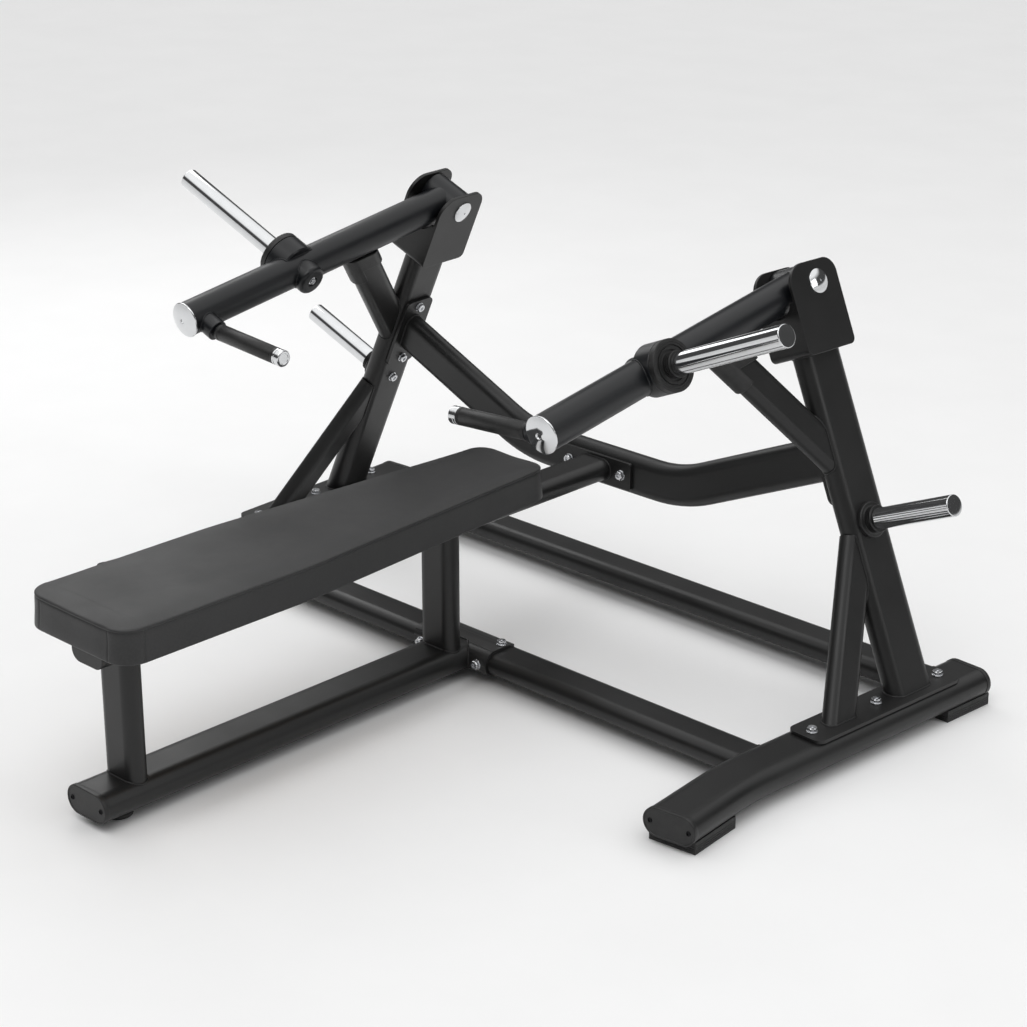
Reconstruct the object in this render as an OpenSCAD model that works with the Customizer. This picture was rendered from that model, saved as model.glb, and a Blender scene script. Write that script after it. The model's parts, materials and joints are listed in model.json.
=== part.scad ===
// Plate-loaded flat chest press machine: a padded bench between two leaning side
// frames, each carrying one lever arm with a handle and a weight horn.
// Millimetres, +Z up, +X to the right of the lying user, +Y towards the head end.
// The origin is on the floor, under the middle of the machine.

/* [Tubes] */
// Width of the large flat-oval tube (foot beams, bottom rail, posts)
big_w = 120; // [110:1:130]
// Thickness of the large flat-oval tube
big_t = 60; // [56:1:62]
// Width of the medium flat-oval tube (cross tubes, top rail, bench legs)
mid_w = 96; // [90:1:104]
// Thickness of the medium flat-oval tube
mid_t = 48; // [46:1:52]
// Width of the small flat-oval tube (side frame leg, arm rest brace)
small_w = 80; // [74:1:84]
// Thickness of the small flat-oval tube
small_t = 40; // [36:1:42]
// Wall thickness of every tube
wall = 3; // [2:0.5:4]
// Outer diameter of the lever arm tube
arm_d = 76; // [70:1:78]

/* [Bench] */
// Length of the bench pad
pad_len = 1200; // [1150:10:1210]
// Width of the bench pad at the foot end
pad_w = 317; // [290:1:330]
// Width of the bench pad at the head end
pad_head_w = 206; // [190:1:230]
// Length of the full-width part of the pad
pad_full = 464; // [400:1:520]
// Thickness of the pad with its board
pad_t = 71; // [66:1:76]
// Height of the pad's top above the floor
pad_top = 454; // [450:1:458]
// Distance from the middle of the machine to the front bench leg
front_leg_y = 738; // [720:1:750]

/* [Side frames] */
// Inward lean of the side frames, degrees
lean = 23.7; // [22:0.1:25]
// Toe-out of the side frames and of the rear of the foot beams, degrees
toe = 3.5; // [3:0.1:4]
// Half spacing of the base plates
base_x = 870; // [860:1:880]
// Distance from the middle of the machine to the middle base plate bolt
base_y = 529; // [525:1:535]
// Height of the pivot shaft along the leaning post
pivot_z = 871; // [850:1:880]
// Width of the gap between the ears of the pivot bracket
ear_gap = 96; // [94:1:98]

/* [Arms] */
// Slope of the resting arm within its side frame, degrees
arm_slope = 10; // [9:0.5:11]
// Length of the arm from the pivot to its end cap
arm_len = 803; // [780:1:810]
// Distance from the pivot to the weight horn along the arm
horn_at = 470; // [455:1:475]
// Diameter of the weight horns and storage pegs
horn_d = 46; // [44:1:50]
// Distance from the arm's middle plane to the tip of the weight horn
horn_tip = 376; // [360:1:390]
// Distance from the pivot to the handle along the arm
handle_at = 757; // [740:1:760]
// Upward tilt of the handle against its collar, degrees
handle_tilt = 20; // [16:1:22]

/* [Hidden] */
$fn = 64;

far = 2000;               // larger than any part, for cutting planes
half_len = 845;           // half the overall length
rail_z = 48;              // height of the middle of the floor tubes
rail_top = rail_z + big_t / 2;
rail_bottom = rail_z - big_t / 2;
top_rail_z = pad_top - pad_t - mid_t / 2;
pad_bottom = pad_top - pad_t;
board_t = 12;
board_inset = 12;
pad_taper_y = -half_len + pad_full;
rear_leg_y = 121;
front_cross_y = 197;
rear_cross_y = 751;
upper_cross_y = 646;
upper_bend_r = 350;       // bend radius of the upper cross tube, on its middle line
plate_t = 8;              // thickness of every flat steel plate
saddle_t = 6;
plate_z = rail_top + plate_t;
base_plate_w = 90;
base_plate_len = 456;
base_bolt_step = 200;
cap_t = 12;               // thickness of the plastic end caps
cap_lip = 1;              // how far an end cap stands out around its tube
cap_screw_x = 44.5;       // half spacing of the screws in the end caps of big tubes
bolt_d = 12;
bolt_hole = 13;
hex_across = 19;
hex_h = 8;
washer_d = 24;
washer_t = 2;

// Foot beams: a long rear run, a gentle bend and a short front run turned outwards
beam_kick = 6;
beam_bend_r = 800;
beam_vertex_y = 106;
beam_front = 231;         // vertex to front cap face
foot_pad_w = 108;
foot_pad_out = 4;         // how far the rear foot pads reach past the beams
beam_y = half_len - foot_pad_out * cos(toe) - foot_pad_w / 2 * sin(toe);
beam_rear = (beam_y - beam_vertex_y) / cos(toe);
beam_turn = toe + beam_kick;
beam_tangent = beam_bend_r * tan(beam_turn / 2);
foot_pad_in = 13;          // how far the front foot pads stay behind the front caps
foot_pad_len = 138;
foot_pad_h = 26;

// Side frames, in their own leaning plane: y along the base plate, z up the post
frame_inset = 4;          // the frame plane stands this far inside the bolt line
post_y = 104;
post_t = 50;
leg_foot_y = -114;
leg_tilt = 29.5;
brace_y = -95;            // a point on the brace's middle line
brace_z = 712;
brace_tilt = 39.7;
bumper_t = 12;            // rubber between the brace's top and the arm
bumper_wall = 6;          // rubber around the brace
bumper_low = 14;           // where the tongue ends, along the brace
bumper_tongue = 18;        // the tongue covers the brace from here forwards
bumper_band = 44;          // height of the full band under the arm
arm_clear = 0.4;
pivot_y = 109;
ear_y0 = 28;
ear_y1 = 172;
ear_z0 = 727;
ear_z1 = 916;
web_top = 842;
shaft_d = 25;
shaft_clear = 0.05;
shaft_head_d = 52;
shaft_head_h = 8;
head_dome_r = 60;
cross_z = 505;            // the upper cross tube's height along the post
cross_plate_w = 92;
cross_plate_h = 190;
cross_bolt_step = 152;
peg_z = 363;
peg_tip = 258;
peg_flange_d = 76;
peg_flange_t = 10;
neck_d = 58;               // black sleeve where a horn or peg leaves its flange
neck_len = 16;
spigot_d = 42;            // the turned-down root of a horn or peg, inside its sleeve
spigot_out = 1;           // how far the root shows before the full diameter starts

// Lever arms, in their own frame: x across, y along the arm from the pivot, z up
hub_d = 84;
hub_len = 90;
bush_d = 34;
bush_flange_t = 2;
boss_d = 108;
boss_len = 48;
inner_boss_d = 70;
inner_boss_len = 55;
stop_t = 15;
collar_d = 48;
collar_len = 66;
handle_d = 32;
handle_len = 216;
grip_d = 37;
grip_gap = 10;
handle_cap_len = 20;
end_cap_t = 12;

// ---- shared shapes ----

// Filled or hollow flat-oval section, w along X and t along Y
module section(w, t, w_wall = 0) {
    difference() {
        oval(w, t);
        if (w_wall > 0) oval(w - 2 * w_wall, t - 2 * w_wall);
    }
}

module oval(w, t) {
    square([w - t, t], center = true);
    for (s = [-1, 1]) translate([s * (w - t) / 2, 0]) circle(d = t);
}

// Straight tube along +X, w along Y and t along Z
module run(len, w, t, w_wall = 0)
    rotate([0, 90, 0]) linear_extrude(len) rotate(90) section(w, t, w_wall);

// Bend that starts along +X and turns left in the XY plane
module bend(r, turn, w, t, w_wall = 0)
    translate([0, r, 0]) rotate(-90) rotate_extrude(angle = turn, $fn = 240)
        translate([r, 0]) section(w, t, w_wall);

// To the end of a bend
module after_bend(r, turn) translate([0, r, 0]) rotate(turn) translate([0, -r, 0]) children();

// Rectangle from a corner to the opposite corner with its own radius at each corner
module round_rect(x0, y0, x1, y1, r) {
    polygon([[x0 + r[0], y0], [x1 - r[1], y0], [x1, y0 + r[1]], [x1, y1 - r[2]],
        [x1 - r[2], y1], [x0 + r[3], y1], [x0, y1 - r[3]], [x0, y0 + r[0]]]);
    translate([x0 + r[0], y0 + r[0]]) circle(r[0]);
    translate([x1 - r[1], y0 + r[1]]) circle(r[1]);
    translate([x1 - r[2], y1 - r[2]]) circle(r[2]);
    translate([x0 + r[3], y1 - r[3]]) circle(r[3]);
}

module mirrored(s) {
    if (s < 0) mirror([1, 0, 0]) children();
    else children();
}

// From a side frame's own plane to the machine's frame
module in_frame(s)
    mirrored(s) translate([base_x, base_y, plate_z]) rotate([0, 0, -toe]) rotate([0, -lean, 0])
        translate([-frame_inset, 0, 0]) children();

// From an arm's own frame to the machine's frame, at rest
module in_arm(s)
    in_frame(s) translate([0, pivot_y, pivot_z]) rotate([arm_slope, 0, 0])
        mirror([0, 1, 0]) children();

// Hex head, washer and shank; the head stands on z = 0 and the shank points down
module hex_bolt(shank) {
    translate([0, 0, -shank]) cylinder(h = shank + 1, d = bolt_d);
    cylinder(h = washer_t, d = washer_d);
    translate([0, 0, washer_t]) cylinder(h = hex_h, d = hex_across / cos(30), $fn = 6);
}

module below(z) translate([-far, -far, z - far]) cube([2 * far, 2 * far, far]);

// ---- bench ----

module pad_outline(inset) {
    front_r = 45 - inset;
    head_r = 36 - inset;
    w = pad_w / 2 - inset;
    hw = pad_head_w / 2 - inset;
    y0 = -half_len + inset;
    y1 = -half_len + pad_len - inset;
    polygon([[-w + front_r, y0], [w - front_r, y0], [w, y0 + front_r], [w, pad_taper_y],
        [hw, y1 - head_r], [hw - head_r, y1], [head_r - hw, y1], [-hw, y1 - head_r],
        [-w, pad_taper_y], [-w, y0 + front_r]]);
    for (s = [-1, 1]) {
        translate([s * (w - front_r), y0 + front_r]) circle(front_r);
        translate([s * (hw - head_r), y1 - head_r]) circle(head_r);
    }
}

module bench_pad() color([0.13, 0.13, 0.14]) difference() {
    translate([0, 0, pad_bottom + 0.5]) linear_extrude(pad_t - 0.5) pad_outline(0);
    translate([0, 0, pad_bottom]) linear_extrude(board_t + 0.3) pad_outline(board_inset - 0.3);
}

module bench_board() color([0.2, 0.16, 0.12])
    translate([0, 0, pad_bottom]) linear_extrude(board_t) pad_outline(board_inset);

module top_rail_solid(w_wall = 0) {
    y0 = -half_len + 30 + cap_t;
    y1 = upper_cross_y - mid_t / 2 - plate_t;
    translate([0, y0, top_rail_z]) rotate(90) run(y1 - y0, mid_w, mid_t, w_wall);
}

module bench_top_rail() color([0.1, 0.1, 0.1]) top_rail_solid(wall);

module end_cap(w, t, w_wall, lip = cap_lip) {
    translate([-cap_t, 0, 0]) run(cap_t, w + 2 * lip, t + 2 * lip);
    run(18, w - 2 * w_wall - 0.4, t - 2 * w_wall - 0.4);
}

module top_rail_cap() color([0.07, 0.07, 0.07])
    translate([0, -half_len + 30 + cap_t, top_rail_z]) rotate(90) end_cap(mid_w, mid_t, wall, 0);

module bench_leg(y, cut_z) difference() {
    translate([0, y, rail_z]) linear_extrude(top_rail_z - rail_z) section(mid_w, mid_t, wall);
    top_rail_solid();
    bottom_rail_solid();
    translate([0, 0, cut_z]) saddle_solid();
}

module bench_front_leg() color([0.1, 0.1, 0.1]) bench_leg(-front_leg_y, 0);

module bench_rear_leg() color([0.1, 0.1, 0.1]) bench_leg(rear_leg_y, 0);

module bottom_rail_solid(w_wall = 0) {
    y0 = -half_len + 5 + cap_t;
    translate([0, y0, rail_z]) rotate(90) run(front_cross_y - y0, big_w, big_t, w_wall);
}

module bench_bottom_rail() color([0.1, 0.1, 0.1]) difference() {
    bottom_rail_solid(wall);
    saddle_solid();
    translate([0, -half_len + 79, rail_bottom - 1]) cylinder(h = wall + 2, d = bolt_hole);
}

module bottom_rail_cap() color([0.07, 0.07, 0.07]) difference() {
    translate([0, -half_len + 5 + cap_t, rail_z]) rotate(90) end_cap(big_w, big_t, wall);
    for (s = [-1, 1]) translate([s * cap_screw_x, -half_len + 5, rail_z]) rotate([-90, 0, 0])
        translate([0, 0, -1]) cylinder(h = cap_t + 1, d = 9);
}

module bench_foot() color([0.06, 0.06, 0.06]) translate([0, -half_len + 79, 0]) {
    cylinder(h = rail_bottom, d = 60);
    translate([0, 0, rail_bottom - 1]) cylinder(h = 20, d = bolt_d);
}

// The bottom rail's saddle wraps over the front cross tube
module saddle_solid() translate([-112, front_cross_y, rail_z])
    run(224, mid_w + 2 * saddle_t, mid_t + 2 * saddle_t);

module bench_saddle() color([0.1, 0.1, 0.1]) difference() {
    saddle_solid();
    translate([-120, front_cross_y, rail_z]) run(242, mid_w, mid_t);
    translate([-far / 2, front_cross_y + 37, rail_z - far / 2]) cube([far, far, far]);
    translate([-far / 2, front_cross_y - 22, rail_z - far]) cube([far, far, far]);
    saddle_bolt_places() translate([0, 0, -20]) cylinder(h = 30, d = bolt_hole);
}

// Two bolts on the saddle's top and two on its nose
module saddle_bolt_places() for (s = [-1, 1]) {
    translate([s * 98, front_cross_y + 12, rail_z + mid_t / 2 + saddle_t]) children();
    translate([s * 87, front_cross_y - mid_w / 2 - saddle_t, rail_z]) rotate([90, 0, 0])
        children();
}

// Plate on the head end of the top rail, bolted to the upper cross tube
module bench_flange() color([0.1, 0.1, 0.1]) difference() {
    translate([0, upper_cross_y - mid_t / 2, top_rail_z]) rotate([90, 0, 0])
        linear_extrude(plate_t) round_rect(-107, -32, 107, 32, [6, 6, 6, 6]);
    flange_bolt_places() translate([0, 0, -20]) cylinder(h = 40, d = bolt_hole);
}

module flange_bolt_places() for (s = [-1, 1])
    translate([s * 79, upper_cross_y - mid_t / 2 - plate_t, top_rail_z]) rotate([90, 0, 0])
        children();

module bench_bolts() color([0.75, 0.75, 0.77]) {
    flange_bolt_places() hex_bolt(26);
    saddle_bolt_places() hex_bolt(22);
}

// ---- cross tubes ----

module front_cross_tube() color([0.1, 0.1, 0.1]) difference() {
    translate([-base_x, front_cross_y, rail_z]) run(2 * base_x, mid_w, mid_t, wall);
    for (s = [-1, 1]) beam_solid(s);
    saddle_bolt_places() translate([0, 0, -30]) cylinder(h = 40, d = bolt_hole);
}

module rear_cross_tube() color([0.1, 0.1, 0.1]) difference() {
    translate([-base_x, rear_cross_y, rail_z]) run(2 * base_x, mid_w, mid_t, wall);
    for (s = [-1, 1]) beam_solid(s);
}

// The gull-wing tube, drawn in the XY plane
module gull_wing(w, t) {
    tangent = upper_bend_r * tan(lean / 2);
    wing_z = cross_z * cos(lean) - frame_inset * sin(lean) + plate_z - top_rail_z;
    wing_x = base_x - frame_inset * cos(lean) - cross_z * sin(lean);
    bend_x = wing_x - wing_z / tan(lean) - tangent;
    translate([-bend_x, 0, 0]) run(2 * bend_x, w, t);
    for (s = [-1, 1]) mirrored(s) translate([bend_x, 0, 0]) {
        bend(upper_bend_r, lean, w, t);
        after_bend(upper_bend_r, lean) run(600, w, t);
    }
}

module upper_cross_tube() color([0.1, 0.1, 0.1]) difference() {
    translate([0, upper_cross_y, top_rail_z]) rotate([90, 0, 0]) gull_wing(mid_w, mid_t);
    translate([0, upper_cross_y, top_rail_z]) rotate([90, 0, 0])
        gull_wing(mid_w - 2 * wall, mid_t - 2 * wall);
    for (s = [-1, 1]) in_frame(s) translate([-post_t / 2 - plate_t, -far / 2, -far / 2])
        cube(far);
    flange_bolt_places() translate([0, 0, -30]) cylinder(h = 40, d = bolt_hole);
}

// ---- floor parts of the side frames ----

module along_beam(s) mirrored(s)
    translate([base_x + (beam_y - base_y) * tan(toe), beam_y, rail_z])
        rotate(-90 - toe) children();

module beam_front_run() translate([beam_rear - beam_tangent, 0, 0])
    after_bend(beam_bend_r, beam_turn) children();

module beam_path(w_wall) {
    translate([cap_t, 0, 0]) run(beam_rear - beam_tangent - cap_t, big_w, big_t, w_wall);
    translate([beam_rear - beam_tangent, 0, 0])
        bend(beam_bend_r, beam_turn, big_w, big_t, w_wall);
    beam_front_run() run(beam_front - beam_tangent - cap_t, big_w, big_t, w_wall);
}

module beam_solid(s) along_beam(s) beam_path(0);

module foot_beam(s) color([0.1, 0.1, 0.1]) difference() {
    along_beam(s) beam_path(wall);
    base_bolt_places(s) translate([0, 0, -plate_t - 10]) cylinder(h = 30, d = bolt_hole);
}

// Both ends of a beam; children are drawn pointing out of the tube along -X
module beam_ends(s) {
    along_beam(s) translate([cap_t, 0, 0]) children();
    along_beam(s) beam_front_run() translate([beam_front - beam_tangent - cap_t, 0, 0])
        mirror([1, 0, 0]) children();
}

module beam_end_caps() color([0.07, 0.07, 0.07]) for (s = [-1, 1]) beam_ends(s)
    difference() {
        end_cap(big_w, big_t, wall);
        for (e = [-1, 1]) translate([-cap_t - 1, e * cap_screw_x, 0]) rotate([0, 90, 0])
            cylinder(h = cap_t + 1, d = 9);
    }

module cap_screw() rotate([0, 90, 0]) translate([0, 0, 1.5]) {
    cylinder(h = 4, d = 8.6);
    cylinder(h = cap_t - 1.5, d = 5);
}

module cap_screws() color([0.12, 0.12, 0.13]) {
    for (s = [-1, 1]) beam_ends(s) for (e = [-1, 1])
        translate([-cap_t, e * cap_screw_x, 0]) cap_screw();
    for (e = [-1, 1]) translate([e * cap_screw_x, -half_len + 5, rail_z]) rotate(90) cap_screw();
}

module foot_pads() color([0.05, 0.05, 0.05]) for (s = [-1, 1]) difference() {
    union() {
        along_beam(s) translate([-foot_pad_out, 0, 0]) foot_pad();
        along_beam(s) beam_front_run() translate([beam_front - beam_tangent, 0, 0])
            mirror([1, 0, 0]) translate([foot_pad_in, 0, 0]) foot_pad();
    }
    beam_solid(s);
    along_beam(s) end_cap_space();
    translate([-base_x, rear_cross_y, rail_z]) run(2 * base_x, mid_w + 1, mid_t + 1);
}

module foot_pad() translate([0, -foot_pad_w / 2, -rail_z])
    cube([foot_pad_len, foot_pad_w, foot_pad_h]);

// Keeps the rear foot pad clear of the plastic cap that it reaches under
module end_cap_space() translate([-1, 0, 0])
    run(cap_t + 2, big_w + 2 * cap_lip + 1, big_t + 2 * cap_lip + 1);

module base_bolt_places(s) mirrored(s) translate([base_x, base_y, plate_z]) rotate(-toe)
    for (i = [-1, 0, 1]) translate([0, i * base_bolt_step, 0]) children();

module base_plate(s) color([0.1, 0.1, 0.1]) difference() {
    mirrored(s) translate([base_x, base_y, rail_top]) rotate(-toe) linear_extrude(plate_t)
        round_rect(-base_plate_w / 2, -base_plate_len / 2, base_plate_w / 2,
            base_plate_len / 2, [20, 20, 20, 20]);
    base_bolt_places(s) translate([0, 0, -plate_t - 1]) cylinder(h = 30, d = bolt_hole);
}

module base_bolts() color([0.75, 0.75, 0.77])
    for (s = [-1, 1]) base_bolt_places(s) hex_bolt(26);

// ---- leaning side frames ----

module post_solid(s, w_wall = 0) in_frame(s) translate([0, post_y, -80])
    linear_extrude(ear_z0 + 80) rotate(90) section(big_w, post_t, w_wall);

module main_post(s) color([0.11, 0.11, 0.11]) difference() {
    post_solid(s, wall);
    below(plate_z);
    in_frame(s) cross_bolt_places() translate([0, 0, -20]) cylinder(h = 40, d = bolt_hole);
    in_frame(s) translate([-post_t, post_y, peg_z]) rotate([0, 90, 0])
        cylinder(h = 2 * post_t, d = bolt_hole);
}

module frame_leg(s) color([0.11, 0.11, 0.11]) difference() {
    in_frame(s) translate([0, leg_foot_y, 0]) rotate([-leg_tilt, 0, 0]) translate([0, 0, -80])
        linear_extrude(460) rotate(90) section(small_w, small_t, wall);
    below(plate_z);
    post_solid(s);
}

// The brace's own frame: z up its middle line, y towards the post
module on_brace() translate([0, brace_y, brace_z]) rotate([brace_tilt, 0, 0]) children();

// Everything closer to the arm's middle line than the given distance, and above it
module above_rest(drop) translate([0, pivot_y, pivot_z]) rotate([arm_slope, 0, 0])
    translate([-far / 2, -far / 2, -drop]) cube(far);

module rest_brace(s) color([0.11, 0.11, 0.11]) difference() {
    in_frame(s) difference() {
        on_brace() translate([0, 0, -330]) linear_extrude(500) rotate(90)
            section(small_w, small_t, wall);
        above_rest(arm_d / 2 + arm_clear + bumper_t);
        translate([-far / 2, post_y, -far / 2]) cube(far);
    }
    post_solid(s);
}

// A rubber cap over the top of the brace, with a longer tongue down its front
module rest_bumper(s) color([0.05, 0.05, 0.05]) in_frame(s) difference() {
    on_brace() translate([0, 0, bumper_low]) linear_extrude(300) rotate(90)
        section(small_w + 2 * bumper_wall, small_t + 2 * bumper_wall);
    difference() {
        on_brace() translate([0, 0, -330]) linear_extrude(700) rotate(90)
            section(small_w, small_t);
        above_rest(arm_d / 2 + arm_clear + bumper_t);
    }
    difference() {
        on_brace() translate([-far / 2, -bumper_tongue, -far / 2]) cube(far);
        above_rest(arm_d / 2 + arm_clear + bumper_band);
    }
    above_rest(arm_d / 2 + arm_clear);
}

module ear_outline() round_rect(ear_y0, ear_z0, ear_y1, ear_z1, [14, 14, 34, 48]);

// Extrudes an outline drawn in the frame plane across it, from x0 to x1
module across(x0, x1) translate([x0, 0, 0]) rotate([90, 0, 90]) linear_extrude(x1 - x0)
    children();

module pivot_bracket(s) color([0.11, 0.11, 0.11]) in_frame(s) difference() {
    union() {
        across(-ear_gap / 2 - plate_t, -ear_gap / 2) ear_outline();
        across(ear_gap / 2, ear_gap / 2 + plate_t) ear_outline();
        across(-ear_gap / 2, ear_gap / 2) difference() {
            ear_outline();
            translate([ear_y0 + plate_t, ear_z0 + plate_t]) square(far);
            translate([0, web_top]) square(far);
        }
    }
    translate([-far / 2, pivot_y, pivot_z]) rotate([0, 90, 0])
        cylinder(h = far, d = shaft_d + 2 * shaft_clear);
    translate([0, pivot_y, pivot_z]) rotate([90 + arm_slope, 0, 0])
        cylinder(h = 400, d = arm_d + 8);
}

module pivot_shaft(s) color([0.8, 0.8, 0.82]) in_frame(s) translate([0, pivot_y, pivot_z])
    rotate([0, 90, 0]) {
        half_shaft = ear_gap / 2 + plate_t;
        translate([0, 0, -half_shaft - 1]) cylinder(h = 2 * half_shaft + 2, d = shaft_d);
        for (e = [0, 1]) mirror([0, 0, e]) intersection() {
            translate([0, 0, half_shaft]) cylinder(h = shaft_head_h + 1, d = shaft_head_d);
            translate([0, 0, half_shaft + shaft_head_h - head_dome_r])
                sphere(r = head_dome_r, $fn = 96);
        }
    }

module cross_bolt_places() for (e = [-1, 1])
    translate([-post_t / 2 - plate_t, post_y, cross_z + e * cross_bolt_step / 2])
        rotate([0, -90, 0]) children();

module cross_plates() color([0.1, 0.1, 0.1]) for (s = [-1, 1]) in_frame(s) difference() {
    across(-post_t / 2 - plate_t, -post_t / 2)
        round_rect(post_y - cross_plate_w / 2, cross_z - cross_plate_h / 2,
            post_y + cross_plate_w / 2, cross_z + cross_plate_h / 2, [18, 18, 18, 18]);
    cross_bolt_places() translate([0, 0, -20]) cylinder(h = 40, d = bolt_hole);
}

module post_bolts() color([0.75, 0.75, 0.77]) for (s = [-1, 1]) in_frame(s) {
    cross_bolt_places() hex_bolt(20);
    translate([-post_t / 2, post_y, peg_z]) rotate([0, -90, 0])
        hex_bolt(post_t + peg_flange_t + 30);
}

module peg_flanges() color([0.07, 0.07, 0.07]) for (s = [-1, 1])
    in_frame(s) translate([post_t / 2, post_y, peg_z]) rotate([0, 90, 0]) difference() {
        union() {
            cylinder(h = peg_flange_t, d = peg_flange_d);
            cylinder(h = peg_flange_t + neck_len, d = neck_d);
        }
        translate([0, 0, -1]) cylinder(h = peg_flange_t + 2, d = bolt_hole);
        translate([0, 0, peg_flange_t]) cylinder(h = neck_len + 1, d = spigot_d + 0.2);
    }

module storage_peg(s) color([0.85, 0.85, 0.87])
    in_frame(s) translate([post_t / 2 + peg_flange_t, post_y, peg_z]) rotate([0, 90, 0])
        difference() {
            union() {
                cylinder(h = neck_len + spigot_out, d = spigot_d);
                translate([0, 0, neck_len + spigot_out])
                    cylinder(h = peg_tip - post_t / 2 - peg_flange_t - neck_len - spigot_out,
                        d = horn_d);
            }
            translate([0, 0, -1]) cylinder(h = 45, d = bolt_d + 0.2);
        }

// ---- lever arms ----

module along_x(x0, x1, d) translate([x0, 0, 0]) rotate([0, 90, 0]) cylinder(h = x1 - x0, d = d);

module along_y(y0, y1, d) translate([0, y0, 0]) rotate([-90, 0, 0]) cylinder(h = y1 - y0, d = d);

module arm_tube(s) color([0.08, 0.08, 0.1]) in_arm(s) difference() {
    union() {
        along_y(0, arm_len - end_cap_t, arm_d);
        along_x(-hub_len / 2, hub_len / 2, hub_d);
    }
    along_y(hub_d / 2, arm_len, arm_d - 2 * wall);
    along_x(-hub_len, hub_len, bush_d);
}

module pivot_bushes(s) color([0.6, 0.48, 0.25]) in_arm(s) for (e = [0, 1]) mirror([e, 0, 0])
    difference() {
        union() {
            along_x(hub_len / 2 - 25, hub_len / 2, bush_d - 0.04);
            along_x(hub_len / 2, hub_len / 2 + bush_flange_t, bush_d + 12);
        }
        along_x(0, hub_len, shaft_d + 2 * shaft_clear);
    }

module arm_end_cap(s) color([0.85, 0.85, 0.87]) in_arm(s) {
    dome_r = 90;
    along_y(arm_len - end_cap_t - 20, arm_len - end_cap_t, arm_d - 2 * wall - 0.4);
    intersection() {
        along_y(arm_len - end_cap_t, arm_len, arm_d + 3);
        translate([0, arm_len - dome_r, 0]) sphere(r = dome_r, $fn = 96);
    }
}

module horn_boss(s) color([0.08, 0.08, 0.09]) in_arm(s) translate([0, horn_at, 0]) difference() {
    union() {
        along_x(0, boss_len, boss_d);
        along_x(-inner_boss_len, 0, inner_boss_d);
    }
    translate([0, -horn_at, 0]) along_y(0, arm_len, arm_d);
    along_x(-inner_boss_len - 1, -inner_boss_len + 5, 22);
    along_x(-inner_boss_len - 1, -inner_boss_len + 22, bolt_d + 0.2);
}

module boss_bolt(s) color([0.75, 0.75, 0.77]) in_arm(s) translate([0, horn_at, 0]) {
    along_x(-inner_boss_len + 1, -inner_boss_len + 5, 20);
    along_x(-inner_boss_len + 4, -inner_boss_len + 16, bolt_d);
}

module horn_stop(s) color([0.06, 0.06, 0.06]) in_arm(s) translate([0, horn_at, 0]) difference() {
    union() {
        along_x(boss_len, boss_len + stop_t, boss_d);
        along_x(boss_len, boss_len + stop_t + neck_len, neck_d);
    }
    along_x(boss_len - 1, boss_len + stop_t + neck_len + 1, spigot_d + 0.2);
}

module weight_horn(s) color([0.85, 0.85, 0.87]) in_arm(s) translate([0, horn_at, 0]) {
    root = boss_len + stop_t + neck_len + spigot_out;
    along_x(boss_len, root, spigot_d);
    along_x(root, horn_tip, horn_d);
}

// The handle's own frame: x runs inwards along the bar from the collar's end
module on_handle() translate([-collar_len, handle_at, 0]) rotate([0, handle_tilt, 0])
    mirror([1, 0, 0]) children();

module handle_bar(s) color([0.08, 0.08, 0.09]) in_arm(s) difference() {
    union() {
        translate([0, handle_at, 0]) along_x(-collar_len, 0, collar_d);
        on_handle() along_x(-16, handle_len - handle_cap_len, handle_d);
    }
    along_y(0, arm_len, arm_d);
}

module handle_grip(s) color([0.05, 0.05, 0.05]) in_arm(s) on_handle() difference() {
    along_x(grip_gap, handle_len - handle_cap_len, grip_d);
    along_x(0, handle_len, handle_d + 0.1);
}

module handle_cap(s) color([0.85, 0.85, 0.87]) in_arm(s) on_handle()
    along_x(handle_len - handle_cap_len, handle_len, grip_d);

// ---- one line for each node ----

bench_pad();
bench_board();
bench_top_rail();
top_rail_cap();
bench_front_leg();
bench_rear_leg();
bench_bottom_rail();
bottom_rail_cap();
bench_foot();
bench_flange();
bench_saddle();
front_cross_tube();
rear_cross_tube();
upper_cross_tube();
base_bolts();
post_bolts();
bench_bolts();
beam_end_caps();
foot_pads();
cap_screws();
peg_flanges();
cross_plates();
foot_beam(-1);  // left_foot_beam
foot_beam(1);  // right_foot_beam
base_plate(-1);  // left_base_plate
base_plate(1);  // right_base_plate
main_post(-1);  // left_main_post
main_post(1);  // right_main_post
frame_leg(-1);  // left_frame_leg
frame_leg(1);  // right_frame_leg
rest_brace(-1);  // left_rest_brace
rest_brace(1);  // right_rest_brace
rest_bumper(-1);  // left_rest_bumper
rest_bumper(1);  // right_rest_bumper
pivot_bracket(-1);  // left_pivot_bracket
pivot_bracket(1);  // right_pivot_bracket
pivot_shaft(-1);  // left_pivot_shaft
pivot_shaft(1);  // right_pivot_shaft
storage_peg(-1);  // left_storage_peg
storage_peg(1);  // right_storage_peg
arm_tube(-1);  // left_arm_tube
arm_tube(1);  // right_arm_tube
pivot_bushes(-1);  // left_pivot_bushes
pivot_bushes(1);  // right_pivot_bushes
arm_end_cap(-1);  // left_arm_end_cap
arm_end_cap(1);  // right_arm_end_cap
horn_boss(-1);  // left_horn_boss
horn_boss(1);  // right_horn_boss
horn_stop(-1);  // left_horn_stop
horn_stop(1);  // right_horn_stop
weight_horn(-1);  // left_weight_horn
weight_horn(1);  // right_weight_horn
boss_bolt(-1);  // left_boss_bolt
boss_bolt(1);  // right_boss_bolt
handle_bar(-1);  // left_handle_bar
handle_bar(1);  // right_handle_bar
handle_grip(-1);  // left_handle_grip
handle_grip(1);  // right_handle_grip
handle_cap(-1);  // left_handle_cap
handle_cap(1);  // right_handle_cap
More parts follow.
